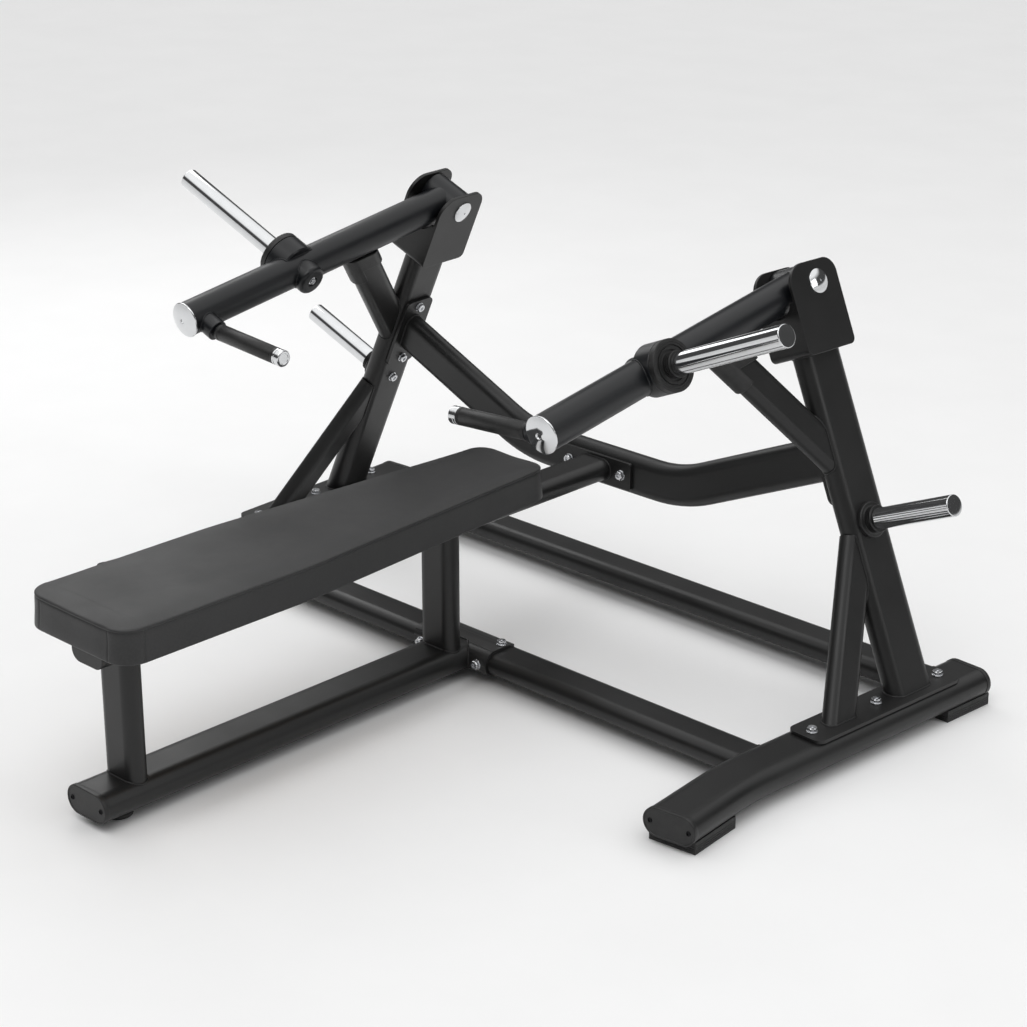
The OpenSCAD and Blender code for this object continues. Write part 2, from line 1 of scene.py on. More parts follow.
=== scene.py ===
"""Looks of the flat chest press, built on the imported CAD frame.

Cushion, chrome, paint, rubber, plastic, bolts and weld beads, with a floor, lights and a camera.
"""

import json
import math

import bmesh
import bpy
from mathutils import Matrix, Vector
from mathutils.bvhtree import BVHTree

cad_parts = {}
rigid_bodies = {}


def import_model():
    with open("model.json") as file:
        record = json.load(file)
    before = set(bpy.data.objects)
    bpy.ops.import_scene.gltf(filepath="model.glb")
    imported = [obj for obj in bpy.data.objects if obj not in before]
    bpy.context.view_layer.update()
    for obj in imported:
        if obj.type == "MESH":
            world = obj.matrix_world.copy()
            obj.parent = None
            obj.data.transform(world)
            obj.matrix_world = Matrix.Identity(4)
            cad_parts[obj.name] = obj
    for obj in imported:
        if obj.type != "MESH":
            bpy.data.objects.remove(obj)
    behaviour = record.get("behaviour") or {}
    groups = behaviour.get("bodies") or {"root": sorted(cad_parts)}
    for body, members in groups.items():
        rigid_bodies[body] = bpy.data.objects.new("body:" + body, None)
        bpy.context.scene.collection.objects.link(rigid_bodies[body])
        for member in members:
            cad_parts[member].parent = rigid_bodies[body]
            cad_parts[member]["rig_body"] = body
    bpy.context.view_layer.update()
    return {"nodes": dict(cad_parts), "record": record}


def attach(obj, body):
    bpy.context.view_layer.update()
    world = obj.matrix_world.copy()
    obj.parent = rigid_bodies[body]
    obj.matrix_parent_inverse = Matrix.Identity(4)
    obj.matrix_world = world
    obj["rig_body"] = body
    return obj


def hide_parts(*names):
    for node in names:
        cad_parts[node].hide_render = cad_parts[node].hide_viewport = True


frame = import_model()
nodes = frame["nodes"]
SIDES = (("left", -1), ("right", 1))
MM = 0.001


# ---- materials ----


def shader(name, **sockets):
    """A new material with its shader's plain values set: the material, its node tree and the shader."""
    mat = bpy.data.materials.new(name)
    mat.use_nodes = True
    tree = mat.node_tree
    bsdf = tree.nodes["Principled BSDF"]
    for key, value in sockets.items():
        bsdf.inputs[key.replace("_", " ")].default_value = value
    return mat, tree, bsdf


def noise(tree, scale, detail=4.0, rough=0.55, stretch=None):
    """A noise texture in object space, in metres; stretch scales each axis before the noise."""
    coord = tree.nodes.new("ShaderNodeTexCoord")
    tex = tree.nodes.new("ShaderNodeTexNoise")
    tex.inputs["Scale"].default_value = scale
    tex.inputs["Detail"].default_value = detail
    tex.inputs["Roughness"].default_value = rough
    out = coord.outputs["Object"]
    if stretch:
        mapping = tree.nodes.new("ShaderNodeMapping")
        mapping.inputs["Scale"].default_value = stretch
        tree.links.new(out, mapping.inputs["Vector"])
        out = mapping.outputs["Vector"]
    tree.links.new(out, tex.inputs["Vector"])
    return tex.outputs["Fac"]


def ramp(tree, fac, low, high, p0=0.3, p1=0.7):
    """A two-colour ramp; plain numbers make a grey one."""
    node = tree.nodes.new("ShaderNodeValToRGB")
    for element, value, pos in zip(node.color_ramp.elements, (low, high), (p0, p1)):
        element.position = pos
        element.color = (value, value, value, 1) if isinstance(value, float) else (*value, 1)
    tree.links.new(fac, node.inputs["Fac"])
    return node.outputs["Color"]


def bump(tree, bsdf, layers):
    """Stacks height maps, each (height output, strength, distance in metres), into the shader's normal."""
    last = None
    for height, strength, distance in layers:
        node = tree.nodes.new("ShaderNodeBump")
        node.inputs["Strength"].default_value = strength
        node.inputs["Distance"].default_value = distance
        tree.links.new(height, node.inputs["Height"])
        if last:
            tree.links.new(last, node.inputs["Normal"])
        last = node.outputs["Normal"]
    tree.links.new(last, bsdf.inputs["Normal"])


def powder_coat(name, dark, light, rough_low, rough_high, painted_edge_highlight=False):
    """Satin powder coat: orange-peel skin and fine speckle, and on request a painted highlight: paler colour
    along sharp plate edges.
    """
    mat, tree, bsdf = shader(name, Specular_IOR_Level=0.42)
    # how much brighter than the light speckle the painted edge highlight is
    edge_highlight_gain = 3.2
    speckle = noise(tree, 2600.0, 2.0)
    cloud = noise(tree, 7.0, 3.0)
    base = ramp(tree, speckle, dark, light, 0.35, 0.72)
    # painted highlight: Pointiness lightens the colour on sharp edges, where plate edges catch the light
    if painted_edge_highlight:
        edges = tree.nodes.new("ShaderNodeNewGeometry")
        edge_highlight_mask = ramp(tree, edges.outputs["Pointiness"], 0.0, 1.0, 0.53, 0.62)
        mix = tree.nodes.new("ShaderNodeMixRGB")
        mix.inputs["Color2"].default_value = (*[c * edge_highlight_gain for c in light], 1)
        tree.links.new(edge_highlight_mask, mix.inputs["Fac"])
        tree.links.new(base, mix.inputs["Color1"])
        base = mix.outputs["Color"]
    tree.links.new(base, bsdf.inputs["Base Color"])
    tree.links.new(ramp(tree, cloud, rough_low, rough_high), bsdf.inputs["Roughness"])
    bump(tree, bsdf, [(noise(tree, 480.0, 2.0), 0.22, 0.0004), (speckle, 0.12, 0.0002)])
    return mat


def rubber(name, dark, light, rough, grain=1400.0, height=0.0004):
    """Matt rubber or moulded plastic with a fine grain."""
    mat, tree, bsdf = shader(name, Specular_IOR_Level=0.4)
    fine = noise(tree, grain, 3.0)
    tree.links.new(ramp(tree, noise(tree, 60.0), dark, light), bsdf.inputs["Base Color"])
    tree.links.new(ramp(tree, fine, rough - 0.08, rough + 0.08), bsdf.inputs["Roughness"])
    bump(tree, bsdf, [(fine, 0.35, height)])
    return mat


def ribbed_rubber(name):
    """Rubber with fine level ribs round it, as moulded floor pads have."""
    mat, tree, bsdf = shader(name, Specular_IOR_Level=0.4)
    tree.links.new(
        ramp(tree, noise(tree, 90.0), (0.018,) * 3, (0.035,) * 3), bsdf.inputs["Base Color"]
    )
    tree.links.new(ramp(tree, noise(tree, 300.0), 0.5, 0.68), bsdf.inputs["Roughness"])
    coord = tree.nodes.new("ShaderNodeTexCoord")
    wave = tree.nodes.new("ShaderNodeTexWave")
    wave.wave_type = "BANDS"
    wave.bands_direction = "Z"
    wave.inputs["Scale"].default_value = 100.0
    wave.inputs["Distortion"].default_value = 0.0
    tree.links.new(coord.outputs["Object"], wave.inputs["Vector"])
    bump(tree, bsdf, [(wave.outputs["Fac"], 0.6, 0.0007), (noise(tree, 1500.0), 0.2, 0.0003)])
    return mat


def metal(name, colour, rough_low, rough_high, scratch=0.05):
    """Plated metal with faint polishing lines and smudges."""
    mat, tree, bsdf = shader(name, Metallic=1.0)
    tint = ramp(tree, noise(tree, 35.0), tuple(c * 0.94 for c in colour), colour)
    tree.links.new(tint, bsdf.inputs["Base Color"])
    tree.links.new(
        ramp(tree, noise(tree, 22.0, 6.0), rough_low, rough_high), bsdf.inputs["Roughness"]
    )
    lines = noise(tree, 900.0, 4.0, 0.7, stretch=(0.06, 1.0, 1.0))
    bump(tree, bsdf, [(lines, scratch, 0.0001)])
    return mat


def vinyl(name):
    """Upholstery vinyl: a fine pebble grain under a soft sheen."""
    mat, tree, bsdf = shader(name, Specular_IOR_Level=0.5)
    coord = tree.nodes.new("ShaderNodeTexCoord")
    cells = tree.nodes.new("ShaderNodeTexVoronoi")
    cells.feature = "DISTANCE_TO_EDGE"
    cells.inputs["Scale"].default_value = 760.0
    tree.links.new(coord.outputs["Object"], cells.inputs["Vector"])
    grain = ramp(tree, cells.outputs["Distance"], 0.0, 1.0, 0.0, 0.22)
    tree.links.new(
        ramp(tree, noise(tree, 240.0, 5.0), (0.012, 0.012, 0.0122), (0.019, 0.019, 0.0193)),
        bsdf.inputs["Base Color"],
    )
    tree.links.new(ramp(tree, noise(tree, 9.0, 5.0), 0.42, 0.52), bsdf.inputs["Roughness"])
    bump(tree, bsdf, [(noise(tree, 26.0, 3.0), 0.12, 0.002), (grain, 0.28, 0.00025)])
    return mat


def plywood(name):
    """Plywood with its grain drawn out along the board."""
    mat, tree, bsdf = shader(name)
    grain = noise(tree, 60.0, 6.0, 0.6, stretch=(6.0, 0.5, 3.0))
    tree.links.new(
        ramp(tree, grain, (0.30, 0.19, 0.10), (0.50, 0.35, 0.20)), bsdf.inputs["Base Color"]
    )
    tree.links.new(ramp(tree, grain, 0.55, 0.75), bsdf.inputs["Roughness"])
    bump(tree, bsdf, [(grain, 0.3, 0.0005)])
    return mat


MAT = {
    "frame_paint": powder_coat("frame_powder_coat", (0.007,) * 3, (0.013,) * 3, 0.33, 0.42),
    "arm_paint": powder_coat("arm_powder_coat", (0.004, 0.0045, 0.0055), (0.007, 0.008, 0.010), 0.30, 0.38),
    "end_cap_plastic": rubber("moulded_plastic", (0.009,) * 3, (0.016,) * 3, 0.38, 900.0, 0.0003),
    "floor_rubber": ribbed_rubber("ribbed_floor_rubber"),
    "grip_rubber": rubber("soft_rubber", (0.010,) * 3, (0.020,) * 3, 0.44),
    "chrome": metal("chrome_plate", (0.72, 0.73, 0.74), 0.06, 0.13),
    "zinc_bolts": metal("zinc_plate", (0.66, 0.67, 0.69), 0.20, 0.34, 0.12),
    "black_screws": metal("black_oxide", (0.02, 0.02, 0.021), 0.38, 0.5),
    "bronze_bushes": metal("sintered_bronze", (0.52, 0.36, 0.16), 0.35, 0.5, 0.2),
    "pad_vinyl": vinyl("upholstery_vinyl"),
    "pad_board": plywood("plywood_board"),
}
# the frame coat with a painted highlight on its sharp edges, for the polished plates
EDGE_HIGHLIT_COAT = powder_coat("edge_highlight_powder_coat", (0.007,) * 3, (0.013,) * 3, 0.33, 0.42, True)
slot_of = {s["node"]: s["material_slot"] for s in frame["record"]["subparts"]}


# ---- places and sizes, in millimetres and radians, following the CAD model ----

LEAN, TOE, SLOPE = math.radians(23.7), math.radians(3.5), math.radians(10)
PLATE_TOP = 86
BASE = Vector((870, 529, PLATE_TOP))
FRAME_INSET = 4
POST_Y, POST_T, PLATE_T = 104, 50, 8
PIVOT = Vector((0, 109, 871))
CROSS_Z, CROSS_STEP, PEG_Z, PEG_TIP = 505, 152, 363, 258
PEG_FLANGE_T, PEG_FLANGE_D, NECK_D, NECK_LEN = 10, 76, 58, 16
ARM_D, ARM_LEN, HORN_AT, HORN_D, HORN_TIP = 76, 803, 470, 46, 376
BOSS_D, BOSS_LEN, STOP_T, INNER_BOSS_D, INNER_BOSS_LEN = 108, 48, 15, 70, 55
HANDLE_AT, HANDLE_TILT, HANDLE_LEN, HANDLE_CAP = 757, math.radians(20), 216, 20
COLLAR_D, COLLAR_LEN, GRIP_D, GRIP_GAP = 48, 66, 37, 10
EAR_OUT, HEAD_H, HEAD_D = 56, 8, 52
BORE_FIT = 1.9  # how far a sleeve's bore lies inside the surface of its horn or peg
SHAFT_R, BAR_R, BAR_ROOT, PLUG_R, PLUG_LEN = 12.5, 16, 14, 34, 18
HALF_LEN, PAD_LEN, PAD_W, PAD_HEAD_W, PAD_FULL = 845, 1200, 317, 206, 464
PAD_TOP, PAD_T = 454, 71
RAIL_Z = 48
BENCH_FOOT_Y = -766
BASE_BOLT_STEP = 200
BENCH_BOLTS = {
    "flange": (79, 614, 359),
    "saddle_top": (98, 209, RAIL_Z + 30),
    "saddle_face": (87, 143, RAIL_Z),
}
BEAM_Y, BEAM_VERTEX_Y, BEAM_R, BEAM_FRONT = 837.71, 106, 800, 231
BEAM_TURN = TOE + math.radians(6)
CAP_T, SCREW_X = 12, 44.5
PAD_IN, PAD_OUT, FOOT_LEN, FOOT_W = 13, 4, 138, 108


def move(x, y, z):
    return Matrix.Translation(Vector((x, y, z)))


def turn(angle, axis):
    return Matrix.Rotation(angle, 4, axis)


def mirrored(side):
    return Matrix.Diagonal((side, 1, 1, 1))


def side_frame(side):
    """A side frame's own plane: x outwards, y rearwards along the base plate, z up the post."""
    return (
        mirrored(side)
        @ Matrix.Translation(BASE)
        @ turn(-TOE, "Z")
        @ turn(-LEAN, "Y")
        @ move(-FRAME_INSET, 0, 0)
    )


def arm_frame(side):
    """An arm's own frame: x outwards, y along the arm from the pivot, z up."""
    return (
        side_frame(side)
        @ Matrix.Translation(PIVOT)
        @ turn(SLOPE, "X")
        @ Matrix.Diagonal((1, -1, 1, 1))
    )


def handle_frame(side):
    """The handle's own frame: x runs inwards along the bar from the collar's end."""
    return (
        arm_frame(side)
        @ move(-COLLAR_LEN, HANDLE_AT, 0)
        @ turn(HANDLE_TILT, "Y")
        @ Matrix.Diagonal((-1, 1, 1, 1))
    )


# ---- making pieces ----

SAME_POINT = 0.00002  # CAD vertices closer than this, in metres, are one point


def publish(bm, name, body, slot, replaces=(), sharp=40, mat=None):
    """Turns a bmesh in metres into a finished piece that rides on a body."""
    bmesh.ops.recalc_face_normals(bm, faces=bm.faces)
    mesh = bpy.data.meshes.new(name)
    bm.to_mesh(mesh)
    bm.free()
    obj = bpy.data.objects.new(name, mesh)
    bpy.context.scene.collection.objects.link(obj)
    for poly in mesh.polygons:
        poly.use_smooth = True
    mesh.set_sharp_from_angle(angle=math.radians(sharp))
    mesh.materials.append(mat or MAT[slot])
    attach(obj, body)
    if replaces:
        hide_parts(*replaces)
    return obj


def lathe(bm, profile, matrix, steps=72):
    """Adds a turned solid: profile is (x, r) pairs in mm, from axis to axis, about the matrix's own X."""
    rings = []
    for x, r in profile:
        if r <= 0:
            rings.append([bm.verts.new(matrix @ Vector((x, 0, 0)) * MM)])
            continue
        ring = []
        for i in range(steps):
            a = 2 * math.pi * i / steps
            ring.append(bm.verts.new(matrix @ Vector((x, r * math.cos(a), r * math.sin(a))) * MM))
        rings.append(ring)
    for low, high in zip(rings, rings[1:]):
        for i in range(steps):
            j = (i + 1) % steps
            corners = [low[i % len(low)], low[j % len(low)]]
            corners += [high[j % len(high)], high[i % len(high)]]
            unique = list(dict.fromkeys(corners))
            if len(unique) > 2:
                bm.faces.new(unique)


def rounded(x, r, dx, dr, steps=6):
    """Points of a quarter-round edge: along X at (x, r), along the radius at (x + dx, r + dr)."""
    points = []
    for i in range(steps + 1):
        a = math.pi / 2 * i / steps
        points.append((x + dx * math.sin(a), r + dr * (1 - math.cos(a))))
    return points


def dome(x_edge, r_edge, height, steps=10, r_stop=0.0):
    """Points of a shallow dome from its edge in to its middle, or to the radius r_stop."""
    big_r = (r_edge**2 + height**2) / (2 * height)
    points = []
    for i in range(steps + 1):
        r = r_edge + (r_stop - r_edge) * i / steps
        points.append((x_edge + math.sqrt(big_r**2 - r**2) - (big_r - height), r))
    return points


def hex_bolt(bm, matrix, across=19.0, height=8.0, washer_d=24.0, washer_t=2.0, shank=14.0):
    """Hex head with a chamfered crown and a dished mark, on a washer; it points along the matrix's Z."""
    steps = 48
    half, shank_r = washer_d / 2, 5.9
    washer = [(-shank, 0), (-shank, shank_r), (0.0, shank_r), (0.0, half - 0.4), (0.4, half)]
    washer += [(washer_t - 0.5, half), (washer_t, half - 0.6), (washer_t, 0)]
    lathe(bm, washer, matrix @ turn(-math.pi / 2, "Y"), steps)

    # levels hold a height, then either the hexagon's scale or a circle's radius
    inner, crown, dish = across / 2, 1.6, 2.6
    top = washer_t + height
    levels = [(washer_t, 0.97, None), (washer_t + 0.5, 1.0, None), (top - crown, 1.0, None)]
    levels += [(top, None, inner * 0.93), (top, None, inner * 0.50)]
    levels += [(top - dish, None, inner * 0.42), (top - dish, None, 0)]
    rings = []
    for z, hexagon, circle in levels:
        ring = []
        for i in range(steps):
            a = 2 * math.pi * i / steps
            wedge = (a + math.pi / 6) % (math.pi / 3) - math.pi / 6
            r = inner / math.cos(wedge) * hexagon if hexagon else circle
            ring.append(bm.verts.new(matrix @ Vector((r * math.cos(a), r * math.sin(a), z)) * MM))
            if circle == 0:
                break
        rings.append(ring)
    for low, high in zip(rings, rings[1:]):
        for i in range(steps):
            j = (i + 1) % steps
            corners = [low[i], low[j], high[j % len(high)], high[i % len(high)]]
            bm.faces.new(list(dict.fromkeys(corners)))
    bm.faces.new(rings[0])


def polished(node, width=1.0, segments=2, angle=32):
    """A copy of a CAD node with its sharp edges rounded, standing for the node."""
    bm = bmesh.new()
    bm.from_mesh(nodes[node].data)
    bmesh.ops.remove_doubles(bm, verts=bm.verts, dist=SAME_POINT)
    bmesh.ops.dissolve_limit(
        bm, angle_limit=math.radians(0.6), verts=bm.verts, edges=bm.edges
    )
    sharp = [
        e
        for e in bm.edges
        if len(e.link_faces) == 2 and e.calc_face_angle(0) > math.radians(angle)
    ]
    bmesh.ops.bevel(
        bm,
        geom=sharp,
        offset=width * MM,
        segments=segments,
        profile=0.5,
        affect="EDGES",
        clamp_overlap=True,
    )
    bmesh.ops.remove_doubles(bm, verts=bm.verts, dist=0.00001)
    slot = slot_of[node]
    # painted frame pieces take the coat with a painted highlight on their sharp edges
    mat = EDGE_HIGHLIT_COAT if slot == "frame_paint" else None
    obj = publish(bm, node + "_finish", nodes[node]["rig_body"], slot, (node,), 50, mat)
    modifier = obj.modifiers.new("normals", "WEIGHTED_NORMAL")
    modifier.keep_sharp = True


# ---- weld beads ----


def surface_tree(node):
    """A search tree of a CAD node's faces."""
    return BVHTree.FromPolygons(
        [v.co.copy() for v in nodes[node].data.vertices],
        [list(p.vertices) for p in nodes[node].data.polygons],
    )


def joint_lines(node, target, reach=0.0007):
    """Chains of a node's sharp edges that lie on another node's surface, longest first."""
    tree = surface_tree(target)
    bm = bmesh.new()
    bm.from_mesh(nodes[node].data)
    bmesh.ops.remove_doubles(bm, verts=bm.verts, dist=SAME_POINT)
    close = {}
    for v in bm.verts:
        hit = tree.find_nearest(v.co, 0.01)
        close[v] = hit[0] is not None and hit[3] < reach
    edges = {
        e
        for e in bm.edges
        if len(e.link_faces) == 2
        and e.calc_face_angle(0) > math.radians(25)
        and all(close[v] for v in e.verts)
    }
    chains = []
    while edges:
        edge = edges.pop()
        chain = list(edge.verts)
        for grow_back in (False, True):
            while True:
                tip = chain[0] if grow_back else chain[-1]
                follow = next((e for e in tip.link_edges if e in edges), None)
                if follow is None:
                    break
                edges.remove(follow)
                other = follow.other_vert(tip)
                if grow_back:
                    chain.insert(0, other)
                else:
                    chain.append(other)
        chains.append([v.co.copy() for v in chain])
    bm.free()
    chains.sort(key=lambda c: -sum((b - a).length for a, b in zip(c, c[1:])))
    return chains


def resampled(points, step):
    """The same line with points at an even spacing."""
    out = [points[0]]
    left = step
    for a, b in zip(points, points[1:]):
        length = (b - a).length
        done = 0.0
        while length - done >= left and length > 0:
            done += left
            out.append(a.lerp(b, done / length))
            left = step
        left -= length - done
    return out


def sweep(bm, points, radius_at, closed, sides=8):
    """Adds a round bead along a line of points."""
    count = len(points)
    side = Vector((0, 0, 1))
    rings = []
    for i, p in enumerate(points):
        before = points[i - 1] if closed or i else p
        after = points[(i + 1) % count] if closed or i < count - 1 else p
        along = (after - before).normalized()
        side = side - along * side.dot(along)
        if side.length < 1e-4:
            side = along.orthogonal()
        side.normalize()
        other = along.cross(side)
        r = radius_at(i)
        rings.append(
            [
                bm.verts.new(p + (side * math.cos(a) + other * math.sin(a)) * r)
                for a in (2 * math.pi * k / sides for k in range(sides))
            ]
        )
    pairs = list(zip(rings, rings[1:]))
    if closed:
        low, high = rings[-1], rings[0]
        shift = min(range(sides), key=lambda k: (low[0].co - high[k].co).length)
        pairs.append((low, high[shift:] + high[:shift]))
    for low, high in pairs:
        for k in range(sides):
            j = (k + 1) % sides
            bm.faces.new([low[k], low[j], high[j], high[k]])
    if not closed:
        bm.faces.new(rings[0])
        bm.faces.new(rings[-1])


def weld(pairs, name, body, slot, radius=2.4):
    """Painted-over weld beads along the outer joint line of each pair of nodes."""
    bm = bmesh.new()
    step, shortest, same_middle = 0.0016, 0.05, 0.006

    def ripple(i):
        return radius * MM * (0.92 + 0.10 * abs(math.sin(i * 0.52)))

    for node, target in pairs:
        kept = []
        for chain in joint_lines(node, target):
            length = sum((b - a).length for a, b in zip(chain, chain[1:]))
            middle = sum(chain, Vector()) / len(chain)
            inside = any((middle - m).length < same_middle and length > 0.5 * n for m, n in kept)
            if length < shortest or inside:
                continue
            kept.append((middle, length))
            closed = (chain[0] - chain[-1]).length < 0.004
            points = resampled(chain, step)
            if closed and (points[0] - points[-1]).length < step * 0.6:
                points.pop()
            if len(points) > 8:
                sweep(bm, points, ripple, closed)
    publish(bm, name, body, slot, (), 70)


# ---- the bench cushion ----

CORNER_FRONT, CORNER_HEAD = 52, 38
COVER_GROWTH = 0.4  # how far the cover's sides start outside the CAD pad's
COVER_RISE, COVER_LIFT = 1.2, 0.6  # how far its top and its underside start above the CAD pad's
TOP_EDGE = 2.6  # radius of the rounded top edge
SEAM_HALF = 1.3  # half the width of a sewn seam's valley
SEAM_DROP = 5.6  # from the pad's top edge down to its border seam
BORDER_SEAM, CORNER_SEAM = 2.4, 2.0  # how deep the two kinds of seam are sewn in
TAPER_BLEND, TAPER_CUT = 45.0, 0.9  # length and depth of the rounding where the taper starts


def pad_half_width(y):
    """Half the pad's width at a place along it, without its corners' rounding."""
    wide, slim = PAD_W / 2, PAD_HEAD_W / 2
    start = -HALF_LEN + PAD_FULL
    t = (y - start) / (PAD_LEN - PAD_FULL)
    if t <= 0:
        return wide
    return wide + (slim - wide) * t


def stations():
    """Places along the pad's length with the half width there, closer together at corners and seams."""
    front, head = -HALF_LEN, -HALF_LEN + PAD_LEN
    rows = []
    for a in (0, 1.6, 10, 20, 30, 40, 50, 60, 70, 80, 88.4, 90):
        a = math.radians(a)
        y = front + CORNER_FRONT * (1 - math.cos(a))
        rows.append((y, pad_half_width(y) - CORNER_FRONT * (1 - math.sin(a))))
    y0, y1 = front + CORNER_FRONT, head - CORNER_HEAD
    taper = -HALF_LEN + PAD_FULL
    places = [y0 + SEAM_HALF, y0 + 5] + [y0 + 5 + (y1 - y0 - 10) * i / 150 for i in range(1, 151)]
    for y in places + [y1]:
        half = pad_half_width(y)
        if abs(y - taper) < TAPER_BLEND:
            half -= TAPER_CUT * (1 - abs(y - taper) / TAPER_BLEND) ** 2
        rows.append((y, half))
    for a in (90, 75, 60, 45, 30, 15, 0):
        a = math.radians(a)
        y = head - CORNER_HEAD * (1 - math.cos(a))
        if y > y1 + 0.1:
            rows.append((y, pad_half_width(y) - CORNER_HEAD * (1 - math.sin(a))))
    return rows


def columns():
    """Fractions across the pad, with a close pair beside each end for the corner seams."""
    count = 40
    inner = [-1 + 2 * i / count for i in range(count + 1)]
    near = 1 - 0.012
    return [-1, -near] + inner[1:-1] + [near, 1]


def cover_border(last_row, last_col):
    """Grid places round the cover's edge, in order."""
    border = [(0, i) for i in range(last_col + 1)]
    border += [(j, last_col) for j in range(1, last_row + 1)]
    border += [(last_row, i) for i in range(last_col - 1, -1, -1)]
    border += [(j, 0) for j in range(last_row - 1, 0, -1)]
    return border


def cover_levels(bottom, top):
    """Heights and insets of the cover's sides, from its rounded top edge down to its underside."""
    levels = []
    for a in (0.45, 0.9, 1.3):
        levels.append((top - TOP_EDGE * (1 - math.cos(a)), TOP_EDGE * (1 - math.sin(a))))
    levels += [(top - SEAM_DROP + d, 0) for d in (SEAM_HALF, 0, -SEAM_HALF)]
    low = top - SEAM_DROP - SEAM_HALF
    levels += [(low + (bottom + 5 - low) * i / 7, 0) for i in range(1, 8)]
    levels += [(bottom + 2, 1.0), (bottom, 4.0)]
    return levels


def cover_mesh():
    """The cover before it swells, as a bmesh, and how deep each of its seam vertices is sewn in."""
    bottom, top = PAD_TOP - PAD_T + COVER_LIFT, PAD_TOP + COVER_RISE
    rows, across = stations(), columns()
    last_row, last_col = len(rows) - 1, len(across) - 1
    middle = -HALF_LEN + PAD_LEN / 2
    stretch = (PAD_LEN / 2 + COVER_GROWTH) / (PAD_LEN / 2)
    border = cover_border(last_row, last_col)
    levels = cover_levels(bottom, top)
    bm = bmesh.new()

    def place(j, i, z, inset):
        y, half = rows[j]
        y = middle + (y - middle) * stretch
        x = across[i] * (half + COVER_GROWTH)
        scale = 1 - inset / (PAD_W / 2)
        squeeze = 1 - inset / (PAD_LEN / 2)
        return Vector((x * scale, middle + (y - middle) * squeeze, z)) * MM

    def sheet(z, inset):
        grid = [
            [bm.verts.new(place(j, i, z, inset)) for i in range(last_col + 1)]
            for j in range(last_row + 1)
        ]
        for j in range(last_row):
            for i in range(last_col):
                bm.faces.new([grid[j][i], grid[j][i + 1], grid[j + 1][i + 1], grid[j + 1][i]])
        return [grid[j][i] for j, i in border]

    rings = [sheet(top, TOP_EDGE)]
    rings += [[bm.verts.new(place(j, i, z, inset)) for j, i in border] for z, inset in levels[:-1]]
    rings.append(sheet(*levels[-1]))
    count = len(border)
    for high, below in zip(rings, rings[1:]):
        for k in range(count):
            n = (k + 1) % count
            bm.faces.new([high[k], high[n], below[n], below[k]])
    bm.verts.index_update()

    seams = {v.index: BORDER_SEAM for v in rings[5]}  # the border seam's valley
    corner_row = next(j for j, (y, _) in enumerate(rows) if y >= -HALF_LEN + CORNER_FRONT - 0.01)
    corners = {border.index((j, i)) for j in (0, corner_row) for i in (0, last_col)}
    for ring in rings[6:-2]:
        for k in corners:
            seams[ring[k].index] = CORNER_SEAM
    return bm, seams


def sew(obj, seams):
    """Draws the seam vertices level inwards by their depths."""
    normals = [v.normal.copy() for v in obj.data.vertices]
    for index, depth in seams.items():
        flat = Vector((normals[index].x, normals[index].y, 0))
        if flat.length > 0.1:
            obj.data.vertices[index].co -= flat.normalized() * depth * MM


def cushion():
    """Foam pad under a sewn vinyl cover: swollen by a cloth simulation, then seamed."""
    bm, seams = cover_mesh()
    obj = publish(bm, "bench_cushion", "frame", "pad_vinyl", ("bench_pad",), 180)
    swell(obj, [v.co.copy() for v in obj.data.vertices])
    sew(obj, seams)
    fine = obj.modifiers.new("fine", "SUBSURF")
    fine.levels = fine.render_levels = 1
    bpy.context.view_layer.objects.active = obj
    bpy.ops.object.modifier_apply(modifier=fine.name)
    for poly in obj.data.polygons:
        poly.use_smooth = True


def pressed_out(obj, rest, bottom):
    """How far each point of the cover goes under cloth pressure, with its underside held to the board."""
    pressure, frames = 4.0, 20
    scene = bpy.context.scene
    bpy.context.view_layer.objects.active = obj
    held = obj.vertex_groups.new(name="held")
    held.add([i for i, co in enumerate(rest) if co.z < bottom + 0.004], 1.0, "REPLACE")
    cloth = obj.modifiers.new("cloth", "CLOTH")
    settings = cloth.settings
    settings.quality = 5
    settings.mass = 0.3
    settings.use_pressure = True
    settings.uniform_pressure_force = pressure
    settings.effector_weights.gravity = 0.0
    settings.vertex_group_mass = "held"
    settings.tension_stiffness = settings.compression_stiffness = 30.0
    settings.bending_stiffness = 2.0
    cloth.collision_settings.use_collision = False
    cloth.point_cache.frame_start = 1
    cloth.point_cache.frame_end = frames
    for number in range(1, frames + 1):
        scene.frame_set(number)
    bpy.ops.object.modifier_apply(modifier=cloth.name)
    scene.frame_set(1)
    return [v.co - co for v, co in zip(obj.data.vertices, rest)]


def swell(obj, rest):
    """Blows the cover up, caps how far each point goes and evens out the swelling."""
    bottom, top = (PAD_TOP - PAD_T) * MM, PAD_TOP * MM
    cap, passes = 0.005, 14
    moved = pressed_out(obj, rest, bottom)
    moved = [m * min(1.0, cap / m.length) if m.length > 0 else m for m in moved]
    neighbours = [[] for _ in rest]
    for e in obj.data.edges:
        a, b = e.vertices
        neighbours[a].append(b)
        neighbours[b].append(a)
    for _ in range(passes):
        moved = [
            (m + sum((moved[n] for n in near), Vector())) / (len(near) + 1)
            for m, near in zip(moved, neighbours)
        ]
    for v, co, m in zip(obj.data.vertices, rest, moved):
        v.co = co + m
        if co.z < bottom + 0.003:
            v.co = co


# ---- build ----


def chrome_bar(bm, matrix, start, root, tip, r, chamfer=1.6):
    """A plated bar on a turned-down root, with a chamfered tip and a flat end face."""
    profile = [(start, 0), (start, r - 2), (root, r - 2), (root, r - 0.6), (root + 0.6, r)]
    profile += [(tip - chamfer, r)] + rounded(tip - chamfer, r, chamfer, -chamfer, 4)
    profile += [(tip, r * 0.5), (tip, 0)]
    lathe(bm, profile, matrix, 96)


